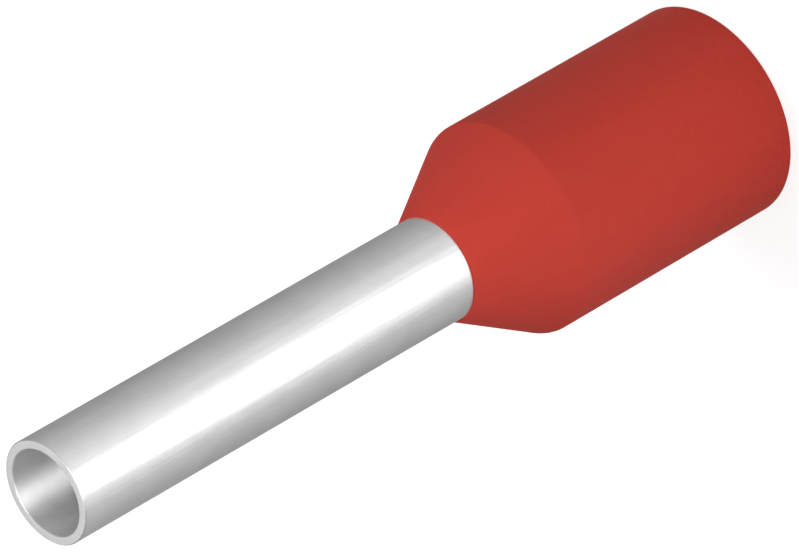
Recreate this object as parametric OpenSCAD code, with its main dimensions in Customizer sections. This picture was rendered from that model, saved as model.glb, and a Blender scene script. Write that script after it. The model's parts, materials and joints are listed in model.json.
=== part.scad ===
// Insulated wire ferrule for one fine-stranded conductor.
// Two pieces: a metal sleeve whose rear end is flared, and a moulded plastic collar that grips
// the sleeve in its neck. The flare seats in a recess of the collar's funnel, flush with it, so
// that strands pushed in from the rear slide into the sleeve without catching.
// Millimetres. The axis is +Z: the collar's rear edge lies in Z = 0 and the sleeve points up.
// Both pieces are profiles turned about that axis, drawn as [radius, height, corner radius].

/* [Sleeve] */
// Bore of the sleeve, which takes the bare strands
sleeve_bore = 1.4; // [1.0:0.1:2.0]
// Wall of the sleeve
sleeve_wall = 0.15; // [0.10:0.01:0.20]
// Length of bare sleeve in front of the collar
sleeve_reach = 8; // [5:0.5:12]
// How far the flared mouth stands out from the sleeve, on the radius
flare_overhang = 0.3; // [0.20:0.05:0.40]
// Bend between sleeve and flare, on the collar's side
flare_bend_r = 0.2; // [0.05:0.05:0.30]
// Rounding of the sleeve's two cut ends
cut_edge_r = 0.02; // [0.005:0.005:0.035]

/* [Collar] */
// Bore of the collar, which takes the insulated wire
socket_bore = 3.0; // [2.8:0.1:4.0]
// Wall of the collar, along the tube and the cone alike
collar_wall = 0.25; // [0.20:0.05:0.50]
// Length of the collar from its rear edge to its front lip
collar_length = 6; // [5:0.5:9]
// Angle between the cone and the axis
cone_angle = 30; // [25:1:45]
// Thickness of the lip at the narrow end of the cone
lip_wall = 0.02; // [0.01:0.01:0.10]
// Rounding of the shoulder between cone and tube, outside
shoulder_r = 0.1; // [0.05:0.05:0.50]
// Blend between funnel and bore, inside
funnel_blend_r = 0.3; // [0.1:0.1:1.0]
// Rounded lead-in for the wire, inside the rear edge
lead_in_r = 0.1; // [0.05:0.01:0.12]
// Rounding outside the rear edge
rim_r = 0.05; // [0.01:0.01:0.07]

/* [Fit] */
// Play between the flare's rim and the end of its recess
flare_play = 0.03; // [0.01:0.01:0.05]

/* [Hidden] */
$fn = 96;
// Largest turn of one straight step along a rounded corner, in degrees
ARC_STEP = 7.5;

bore_r = sleeve_bore / 2;
sleeve_r = bore_r + sleeve_wall;
socket_r = socket_bore / 2;
collar_r = socket_r + collar_wall;
lip_r = sleeve_r + lip_wall;
flare_r = sleeve_r + flare_overhang;
tip_z = collar_length + sleeve_reach;
// Depths below the cone's outer face of the flare's outer and inner faces
flare_back = collar_wall;
flare_front = collar_wall + sleeve_wall;

// Direction that leaves the cone's outer face squarely, as [radius, height]
square_out = [cos(cone_angle), sin(cone_angle)];

// Point at a radius, on the line that runs a depth below the cone's outer face
function under_cone(r, depth) =
    [r, collar_length + (lip_r - r - depth / cos(cone_angle)) / tan(cone_angle)];

function with_radius(point, r) = [point.x, point.y, r];

function unit(v) = v / norm(v);

// Points of the arc that rounds corner b, which lies between corners a and c
function corner_arc(a, b, c, r) =
    let (
        to_a = unit(a - b),
        to_c = unit(c - b),
        half = acos(to_a * to_c) / 2,
        centre = b + unit(to_a + to_c) * r / sin(half),
        from = b + to_a * r / tan(half) - centre,
        to = b + to_c * r / tan(half) - centre,
        start = atan2(from.y, from.x),
        turn = sign(from.x * to.y - from.y * to.x) * (180 - 2 * half),
        steps = ceil(abs(turn) / ARC_STEP)
    )
    [for (i = [0:steps]) centre + r * [cos(start + turn * i / steps), sin(start + turn * i / steps)]];

// Closed outline through corners given as [radius, height, corner radius]
function rounded(corners) =
    let (n = len(corners), at = [for (c = corners) [c.x, c.y]])
    [for (i = [0:n - 1])
        each corners[i].z > 0
            ? corner_arc(at[(i + n - 1) % n], at[i], at[(i + 1) % n], corners[i].z)
            : [at[i]]];

// Tube cut square at the tip, its rear end belled out along the collar's funnel
module copper_sleeve() {
    rim_back = under_cone(flare_r, flare_back);
    rim_front = rim_back - sleeve_wall * square_out;
    color("gainsboro")
        rotate_extrude()
            polygon(rounded([
                [bore_r, tip_z, cut_edge_r],
                with_radius(under_cone(bore_r, flare_front), flare_bend_r + sleeve_wall),
                with_radius(rim_front, cut_edge_r),
                with_radius(rim_back, cut_edge_r),
                with_radius(under_cone(sleeve_r, flare_back), flare_bend_r),
                [sleeve_r, tip_z, cut_edge_r]
            ]));
}

// Thin-walled tube and cone, with a socket for the insulation, a funnel and a neck
module plastic_collar() {
    shelf_back = under_cone(flare_r, flare_back) + flare_play * [sin(cone_angle), -cos(cone_angle)];
    shelf_front = shelf_back - sleeve_wall * square_out;
    color([0.72, 0.25, 0.21])
        rotate_extrude()
            polygon(rounded([
                [sleeve_r, collar_length, 0],
                with_radius(under_cone(sleeve_r, flare_back), flare_bend_r),
                with_radius(shelf_back, 0),
                with_radius(shelf_front, 0),
                with_radius(under_cone(socket_r, flare_front), funnel_blend_r),
                [socket_r, 0, lead_in_r],
                [collar_r, 0, rim_r],
                with_radius(under_cone(collar_r, 0), shoulder_r),
                [lip_r, collar_length, 0]
            ]));
}

copper_sleeve();
plastic_collar();
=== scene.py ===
"""Finish of an insulated wire ferrule: a tin-plated copper sleeve held in a moulded plastic collar.

Sizes are in millimetres, and come from the frame where it has them. The ferrule stands on the rear
edge of its collar, and both pieces are turned about the Z axis.
"""
import json
from math import acos, atan2, ceil, cos, pi, radians, sin, tan

import bmesh
import bpy
from mathutils import Matrix, Vector

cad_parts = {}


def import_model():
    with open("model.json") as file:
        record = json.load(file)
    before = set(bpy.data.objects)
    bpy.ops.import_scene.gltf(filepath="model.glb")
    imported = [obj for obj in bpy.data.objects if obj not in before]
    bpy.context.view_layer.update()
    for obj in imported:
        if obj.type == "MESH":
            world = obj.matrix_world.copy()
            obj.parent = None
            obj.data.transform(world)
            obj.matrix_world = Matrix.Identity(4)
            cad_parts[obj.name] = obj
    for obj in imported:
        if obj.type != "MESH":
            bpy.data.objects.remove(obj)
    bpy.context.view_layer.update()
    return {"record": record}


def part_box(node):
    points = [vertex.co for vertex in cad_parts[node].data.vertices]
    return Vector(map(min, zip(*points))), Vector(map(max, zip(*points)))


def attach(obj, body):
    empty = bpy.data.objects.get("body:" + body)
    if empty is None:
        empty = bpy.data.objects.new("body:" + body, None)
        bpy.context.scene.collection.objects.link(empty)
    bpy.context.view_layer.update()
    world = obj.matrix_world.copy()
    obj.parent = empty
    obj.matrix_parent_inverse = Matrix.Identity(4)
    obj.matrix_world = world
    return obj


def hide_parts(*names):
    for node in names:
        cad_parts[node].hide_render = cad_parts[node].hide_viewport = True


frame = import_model()

MM = 0.001

# Camera: a long lens from the front, rolled so that the ferrule lies across the view
CAMERA_AIM = Vector((0.166, 0.0, 6.607))
CAMERA_DISTANCE = 144.99
CAMERA_ELEVATION = radians(35.31)
CAMERA_ROLL = radians(119.94)
LENS = 436.1
SENSOR_WIDTH = 36.0
CLIP_START = 10

# Sizes of the two pieces that the frame states
MOUNT_SIZES = {mount["name"]: mount["dims"] for mount in frame["record"]["mounts"]}
BORE_R = MOUNT_SIZES["conductor_bore"]["r_mm"]
SLEEVE_R = MOUNT_SIZES["sleeve_outside"]["r_mm"]
SOCKET_R = MOUNT_SIZES["insulation_socket"]["r_mm"]
COLLAR_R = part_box("plastic_collar")[1].x / MM
COLLAR_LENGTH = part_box("plastic_collar")[1].z / MM
FLARE_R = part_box("copper_sleeve")[1].x / MM
TIP_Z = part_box("copper_sleeve")[1].z / MM
SLEEVE_WALL = SLEEVE_R - BORE_R
COLLAR_WALL = COLLAR_R - SOCKET_R

# Sizes that the frame doesn't state
CONE_ANGLE = radians(30)
LIP_WALL = 0.02
FLARE_PLAY = 0.03
FLARE_BEND_R = 0.2
CUT_EDGE_R = 0.02
SHOULDER_R = 0.1
FUNNEL_BLEND_R = 0.3
LEAD_IN_R = 0.1
RIM_R = 0.05

# Depth of the flare's inner face below the cone's outer face, and the way squarely out of that face
FLARE_FRONT = COLLAR_WALL + SLEEVE_WALL
SQUARE_OUT = Vector((cos(CONE_ANGLE), sin(CONE_ANGLE)))

# Fineness of the turned meshes
SEGMENTS = 256
ARC_STEP = radians(9)
LONGEST_STEP = 0.25
HARD_EDGE = radians(25)

# Z part of a face's normal: under the first number it is a side wall, over the second a flat end
SIDE_WALL = 0.7
FLAT_END = 0.99

# Sizes of the marks in the finishes: across a line, a patch, a grain or a streak, and how deep
DRAWING_LINE = 0.1
DRAWING_LINE_DEPTH = 0.005
TIN_CLOUD = 0.4
BORE_CLOUD = 0.15
MOULD_GRAIN = 0.1
MOULD_GRAIN_DEPTH = 0.012
PIGMENT_STREAK = 0.6

# Glowing card round the back, a painted reflection seen only in the metal and the plastic's gloss: it lies
# on the ground from beside the ferrule outwards, then stands up
CARD_NEAR_R = 2.2
CARD_FAR_R = 7.5
CARD_LIFT = 0.02
CARD_TOP = 17.0
CARD_HALF_SPAN = radians(126)
CARD_TURN = radians(-4)
CARD_STEPS = 48

# Half the side of the square floor
FLOOR_REACH = 350


def camera():
    """A long lens that looks down on the standing ferrule, turned about its own line of sight."""
    data = bpy.data.cameras.new("camera")
    data.lens = LENS
    data.sensor_width = SENSOR_WIDTH
    data.clip_start = CLIP_START * MM
    made = bpy.data.objects.new("camera", data)
    bpy.context.scene.collection.objects.link(made)
    bpy.context.scene.camera = made
    back = Vector((0, -cos(CAMERA_ELEVATION), sin(CAMERA_ELEVATION)))
    made.location = (CAMERA_AIM + CAMERA_DISTANCE * back) * MM
    level = (-back).to_track_quat("-Z", "Y").to_matrix()
    made.rotation_euler = (level @ Matrix.Rotation(-CAMERA_ROLL, 3, "Z")).to_euler()


# ---------------------------------------------------------------- shapes


def under_cone(radius, depth):
    """Point at a radius on the line that runs a depth below the cone's outer face."""
    outer = SLEEVE_R + LIP_WALL
    return Vector((radius, COLLAR_LENGTH + (outer - radius - depth / cos(CONE_ANGLE)) / tan(CONE_ANGLE)))


def corner_arc(before, corner, after, radius):
    """Points of the arc that rounds a corner between its two neighbours."""
    to_before = (before - corner).normalized()
    to_after = (after - corner).normalized()
    half = acos(to_before.dot(to_after)) / 2
    centre = corner + (to_before + to_after).normalized() * radius / sin(half)
    first = corner + to_before * radius / tan(half) - centre
    last = corner + to_after * radius / tan(half) - centre
    side = 1 if first.x * last.y > first.y * last.x else -1
    turn = side * (pi - 2 * half)
    start = atan2(first.y, first.x)
    steps = max(2, ceil(abs(turn) / ARC_STEP))
    return [
        centre + radius * Vector((cos(start + turn * i / steps), sin(start + turn * i / steps)))
        for i in range(steps + 1)
    ]


def outline(corners):
    """Closed outline through (point, corner radius) pairs, its long stretches cut into short ones."""
    points = [Vector(point) for point, _ in corners]
    bent = []
    for i, (_, radius) in enumerate(corners):
        neighbours = points[i - 1], points[i], points[(i + 1) % len(points)]
        bent += corner_arc(*neighbours, radius) if radius else [points[i]]
    filled = []
    for here, there in zip(bent, bent[1:] + bent[:1]):
        steps = max(1, ceil((there - here).length / LONGEST_STEP))
        filled += [here.lerp(there, i / steps) for i in range(steps)]
    return filled


def turned(name, profile):
    """Object made of a profile of (radius, height) points turned once about the Z axis."""
    shape = bmesh.new()
    angles = [2 * pi * i / SEGMENTS for i in range(SEGMENTS)]
    rings = [
        [shape.verts.new(Vector((radius * cos(a), radius * sin(a), height)) * MM) for a in angles]
        for radius, height in profile
    ]
    for ring, following in zip(rings, rings[1:] + rings[:1]):
        for i in range(SEGMENTS):
            shape.faces.new((ring[i - 1], ring[i], following[i], following[i - 1]))
    bmesh.ops.recalc_face_normals(shape, faces=shape.faces)
    for face in shape.faces:
        face.smooth = True
    for edge in shape.edges:
        edge.smooth = edge.calc_face_angle() < HARD_EDGE
    mesh = bpy.data.meshes.new(name)
    shape.to_mesh(mesh)
    shape.free()
    made = bpy.data.objects.new(name, mesh)
    bpy.context.scene.collection.objects.link(made)
    return made


def sleeve_profile():
    """Tube cut square at the tip, its rear end belled out along the collar's funnel."""
    rim_back = under_cone(FLARE_R, COLLAR_WALL)
    return outline([
        ((BORE_R, TIP_Z), CUT_EDGE_R),
        (under_cone(BORE_R, FLARE_FRONT), FLARE_BEND_R + SLEEVE_WALL),
        (rim_back - SLEEVE_WALL * SQUARE_OUT, CUT_EDGE_R),
        (rim_back, CUT_EDGE_R),
        (under_cone(SLEEVE_R, COLLAR_WALL), FLARE_BEND_R),
        ((SLEEVE_R, TIP_Z), CUT_EDGE_R),
    ])


def collar_profile():
    """Tube and cone of one wall, with a funnel inside and a recess for the sleeve's flare."""
    play = FLARE_PLAY * Vector((sin(CONE_ANGLE), -cos(CONE_ANGLE)))
    shelf_back = under_cone(FLARE_R, COLLAR_WALL) + play
    return outline([
        ((SLEEVE_R, COLLAR_LENGTH), 0),
        (under_cone(SLEEVE_R, COLLAR_WALL), FLARE_BEND_R),
        (shelf_back, 0),
        (shelf_back - SLEEVE_WALL * SQUARE_OUT, 0),
        (under_cone(SOCKET_R, FLARE_FRONT), FUNNEL_BLEND_R),
        ((SOCKET_R, 0), LEAD_IN_R),
        ((COLLAR_R, 0), RIM_R),
        (under_cone(COLLAR_R, 0), SHOULDER_R),
        ((SLEEVE_R + LIP_WALL, COLLAR_LENGTH), 0),
    ])


def dull_bore_and_cut_edges(made):
    """Gives the second material to the sleeve's inside and to the roundings of its cut tip."""
    for face in made.data.polygons:
        x, y, z = face.center / MM
        turned_in = face.normal.x * x + face.normal.y * y < 0
        inside = turned_in and abs(face.normal.z) < SIDE_WALL and z < TIP_Z - CUT_EDGE_R
        cut_edge = face.normal.z < FLAT_END and z > TIP_Z - CUT_EDGE_R
        face.material_index = int(inside or cut_edge)


# ---------------------------------------------------------------- materials


def colour(hex_code):
    """sRGB hex colour as the linear values that a shader takes."""
    parts = [int(hex_code[i:i + 2], 16) / 255 for i in (1, 3, 5)]
    return (*[p / 12.92 if p <= 0.04045 else ((p + 0.055) / 1.055) ** 2.4 for p in parts], 1)


def add(tree, kind, inputs=None, **settings):
    """Adds a node: settings are its properties, and inputs its values or the outputs that feed them.

    An input goes by its name, or by its number where several share a name.
    """
    made = tree.nodes.new(kind)
    for name, value in settings.items():
        setattr(made, name, value)
    for name, value in (inputs or {}).items():
        if isinstance(value, bpy.types.NodeSocket):
            tree.links.new(value, made.inputs[name])
        else:
            made.inputs[name].default_value = value
    return made


def new_material(name):
    """An empty material and its node tree."""
    made = bpy.data.materials.new(name)
    made.use_nodes = True
    made.node_tree.nodes.clear()
    return made, made.node_tree


def tin_plated_copper():
    """Drawn copper tube with electroplated tin: a soft silver with fine lines along the draw."""
    made, tree = new_material("tin-plated drawn copper")
    place = add(tree, "ShaderNodeTexCoord").outputs["Object"]
    # Lines of the draw, far longer than wide, and coarser than the real ones so that they show
    along = add(tree, "ShaderNodeMapping", {"Vector": place, "Scale": (1 / MM, 1 / MM, 0.03 / MM)})
    lines = add(tree, "ShaderNodeTexNoise", {
        "Vector": along.outputs[0], "Scale": 1 / DRAWING_LINE, "Detail": 4, "Roughness": 0.7,
    }).outputs[0]
    # Clouding of the plating, where the bath left it thicker or thinner
    cloud = add(tree, "ShaderNodeTexNoise", {
        "Vector": place, "Scale": 1 / (TIN_CLOUD * MM), "Detail": 3, "Roughness": 0.6,
    }).outputs[0]
    marks = add(tree, "ShaderNodeMix", {"Factor": 0.5, 2: cloud, 3: lines}).outputs[0]
    base = add(tree, "ShaderNodeMix", {
        "Factor": marks, 6: colour("#C4C4C4"), 7: colour("#DADADA"),
    }, data_type="RGBA").outputs[2]
    rough = add(tree, "ShaderNodeMapRange", {"Value": cloud, "To Min": 0.34, "To Max": 0.46}).outputs[0]
    relief = add(tree, "ShaderNodeBump", {
        "Height": lines, "Strength": 1.0, "Distance": DRAWING_LINE_DEPTH * MM,
    })
    shader = add(tree, "ShaderNodeBsdfPrincipled", {
        "Base Color": base, "Metallic": 1.0, "Roughness": rough, "Normal": relief.outputs[0],
    })
    add(tree, "ShaderNodeOutputMaterial", {"Surface": shader.outputs[0]})
    return made


def dull_tin():
    """Thin, dull tin in the bore and on the cut edges: a grey without a sharp reflection.

    Fine rings round the inside stretch what it reflects into a streak along the bore.
    """
    made, tree = new_material("thin dull tin plating")
    place = add(tree, "ShaderNodeTexCoord").outputs["Object"]
    cloud = add(tree, "ShaderNodeTexNoise", {
        "Vector": place, "Scale": 1 / (BORE_CLOUD * MM), "Detail": 3, "Roughness": 0.6,
    }).outputs[0]
    base = add(tree, "ShaderNodeMix", {
        "Factor": cloud, 6: colour("#B0B0B0"), 7: colour("#BEBEBE"),
    }, data_type="RGBA").outputs[2]
    rough = add(tree, "ShaderNodeMapRange", {"Value": cloud, "To Min": 0.60, "To Max": 0.68}).outputs[0]
    tangent = add(tree, "ShaderNodeTangent", direction_type="RADIAL", axis="Z").outputs[0]
    shader = add(tree, "ShaderNodeBsdfPrincipled", {
        "Base Color": base, "Metallic": 1.0, "Roughness": rough, "Anisotropic": 0.72,
        "Anisotropic Rotation": 0.25, "Tangent": tangent,
    })
    add(tree, "ShaderNodeOutputMaterial", {"Surface": shader.outputs[0]})
    return made


def moulded_polypropylene():
    """Red polypropylene from a spark-eroded mould: waxy and half matt, its sheen lost in a fine grain."""
    made, tree = new_material("injection-moulded polypropylene")
    place = add(tree, "ShaderNodeTexCoord").outputs["Object"]
    # Grain that the eroded mould leaves
    grain = add(tree, "ShaderNodeTexNoise", {
        "Vector": place, "Scale": 1 / (MOULD_GRAIN * MM), "Detail": 3, "Roughness": 0.6,
    }).outputs[0]
    # Pigment flow, in faint streaks along the mould's filling direction
    along = add(tree, "ShaderNodeMapping", {"Vector": place, "Scale": (1 / MM, 1 / MM, 0.2 / MM)})
    flow = add(tree, "ShaderNodeTexNoise", {
        "Vector": along.outputs[0], "Scale": 1 / PIGMENT_STREAK, "Detail": 2, "Roughness": 0.5,
    }).outputs[0]
    base = add(tree, "ShaderNodeMix", {
        "Factor": flow, 6: colour("#BC3B30"), 7: colour("#C34136"),
    }, data_type="RGBA").outputs[2]
    rough = add(tree, "ShaderNodeMapRange", {"Value": grain, "To Min": 0.66, "To Max": 0.76}).outputs[0]
    relief = add(tree, "ShaderNodeBump", {
        "Height": grain, "Strength": 1.0, "Distance": MOULD_GRAIN_DEPTH * MM,
    })
    shader = add(tree, "ShaderNodeBsdfPrincipled", {
        "Base Color": base, "Roughness": rough, "IOR": 1.49, "Normal": relief.outputs[0],
        "Specular IOR Level": 0.08,
    })
    add(tree, "ShaderNodeOutputMaterial", {"Surface": shader.outputs[0]})
    return made


# ---------------------------------------------------------------- studio


def seen(tree):
    """1 for rays that show the white ground, straight or mirrored, and 0 for those that carry its light."""
    path = add(tree, "ShaderNodeLightPath").outputs
    eye_or_mirror = add(tree, "ShaderNodeMath", {
        0: path["Is Camera Ray"], 1: path["Is Glossy Ray"],
    }, operation="MAXIMUM").outputs[0]
    return add(tree, "ShaderNodeMath", {
        0: eye_or_mirror, 1: path["Is Transmission Ray"],
    }, operation="MAXIMUM").outputs[0]


def white_floor():
    """White paper that glows to the eye, so that only the ferrule's shadow shows on it."""
    reach = FLOOR_REACH * MM
    corners = [(-reach, -reach, 0), (reach, -reach, 0), (reach, reach, 0), (-reach, reach, 0)]
    mesh = bpy.data.meshes.new("floor")
    mesh.from_pydata(corners, [], [(0, 1, 2, 3)])
    made, tree = new_material("white paper")
    paper = add(tree, "ShaderNodeBsdfDiffuse", {"Color": colour("#A8A8A8")})
    glow = add(tree, "ShaderNodeEmission", {"Color": colour("#E0E0E0"), "Strength": seen(tree)})
    both = add(tree, "ShaderNodeAddShader", {0: paper.outputs[0], 1: glow.outputs[0]})
    add(tree, "ShaderNodeOutputMaterial", {"Surface": both.outputs[0]})
    mesh.materials.append(made)
    floor = bpy.data.objects.new("floor", mesh)
    bpy.context.scene.collection.objects.link(floor)


def grey_card():
    """Card bent round the back of the ferrule that glows though it is no lamp: a painted reflection, seen
    only in the metal and the plastic's gloss.

    Its glow is darkest straight behind, a painted shade in what the sleeve reflects, so that the sleeve
    shades off towards its edges.
    """
    section = ((CARD_NEAR_R, CARD_LIFT), (CARD_FAR_R, CARD_LIFT), (CARD_FAR_R, CARD_TOP))
    angles = [pi + CARD_HALF_SPAN * (2 * i / CARD_STEPS - 1) for i in range(CARD_STEPS + 1)]
    points = [
        Vector((radius * sin(a), -radius * cos(a), height)) * MM
        for radius, height in section for a in angles
    ]
    row = len(angles)
    faces = [
        (first + i, first + i + 1, first + row + i + 1, first + row + i)
        for first in range(0, row * (len(section) - 1), row) for i in range(CARD_STEPS)
    ]
    mesh = bpy.data.meshes.new("grey_card")
    mesh.from_pydata(points, [], faces)
    made, tree = new_material("grey card")
    place = add(tree, "ShaderNodeTexCoord").outputs["Object"]
    depth = add(tree, "ShaderNodeSeparateXYZ", {"Vector": place}).outputs["Y"]
    # Painted shade in the reflection: the glow fades from 0.78 in front to 0.27 straight behind
    shade = add(tree, "ShaderNodeMapRange", {
        "Value": depth, "From Min": -CARD_FAR_R / 2 * MM, "From Max": CARD_FAR_R * MM,
        "To Min": 0.78, "To Max": 0.27,
    })
    glow = add(tree, "ShaderNodeEmission", {"Strength": shade.outputs[0]})
    add(tree, "ShaderNodeOutputMaterial", {"Surface": glow.outputs[0]})
    mesh.materials.append(made)
    card = bpy.data.objects.new("grey_card", mesh)
    card.rotation_euler.z = CARD_TURN
    # Only glossy rays see the glowing card, so it shows only as a painted reflection
    card.visible_camera = False
    card.visible_diffuse = False
    card.visible_shadow = False
    bpy.context.scene.collection.objects.link(card)


def world():
    """White to the eye and in metal, and a soft grey as light."""
    made = bpy.data.worlds.new("world")
    made.use_nodes = True
    tree = made.node_tree
    tree.nodes.clear()
    strength = add(tree, "ShaderNodeMapRange", {"Value": seen(tree), "To Min": 0.54, "To Max": 1.0})
    back = add(tree, "ShaderNodeBackground", {"Color": (1, 1, 1, 1), "Strength": strength.outputs[0]})
    add(tree, "ShaderNodeOutputWorld", {"Surface": back.outputs[0]})
    bpy.context.scene.world = made


def softbox(name, place, aim, size, radiance, spread=pi):
    """Flat lamp at a place, turned to an aim, all in millimetres.

    The radiance is that of the full spread, and a narrower one gathers the same power in its beam.
    """
    data = bpy.data.lights.new(name, "AREA")
    data.shape = "RECTANGLE"
    data.size = size[0] * MM
    data.size_y = size[1] * MM
    data.energy = radiance * pi * data.size * data.size_y
    data.spread = spread
    lamp = bpy.data.objects.new(name, data)
    lamp.location = Vector(place) * MM
    lamp.rotation_euler = (Vector(aim) - Vector(place)).to_track_quat("-Z", "Y").to_euler()
    lamp.visible_camera = False
    bpy.context.scene.collection.objects.link(lamp)


def lamps():
    """Two large softboxes light both pieces from afar, and two small lamps draw on the metal."""
    middle = (0, 0, TIP_Z / 2)
    # In front, at a lower angle than the camera
    softbox("key", place=(-37, -190, 105), aim=middle, size=(110, 110), radiance=1.6)
    # High on the +X side, for the cone and the side of the collar that is uppermost in the view
    softbox("fill", place=(107, 19, 195), aim=middle, size=(110, 110), radiance=3.8)
    # Close in front of the sleeve, where its reflection is the white band along the metal
    softbox("low_panel", place=(-3.1, -10.4, 1.9), aim=(0, 0, 9.5), size=(10.1, 13), radiance=2.0)
    # A narrow beam down into the tip, for the streak along the bore
    softbox(
        "bore_lamp", place=(-2.4, -8.1, 22.2), aim=(0, 0, 13.6), size=(6.4, 4), radiance=2.8,
        spread=radians(44),
    )


camera()

sleeve = turned("sleeve", sleeve_profile())
sleeve.data.materials.append(tin_plated_copper())
sleeve.data.materials.append(dull_tin())
dull_bore_and_cut_edges(sleeve)
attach(sleeve, "root")
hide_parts("copper_sleeve")

collar = turned("collar", collar_profile())
collar.data.materials.append(moulded_polypropylene())
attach(collar, "root")
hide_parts("plastic_collar")

white_floor()
grey_card()
world()
lamps()

bpy.context.scene.view_settings.view_transform = "Standard"
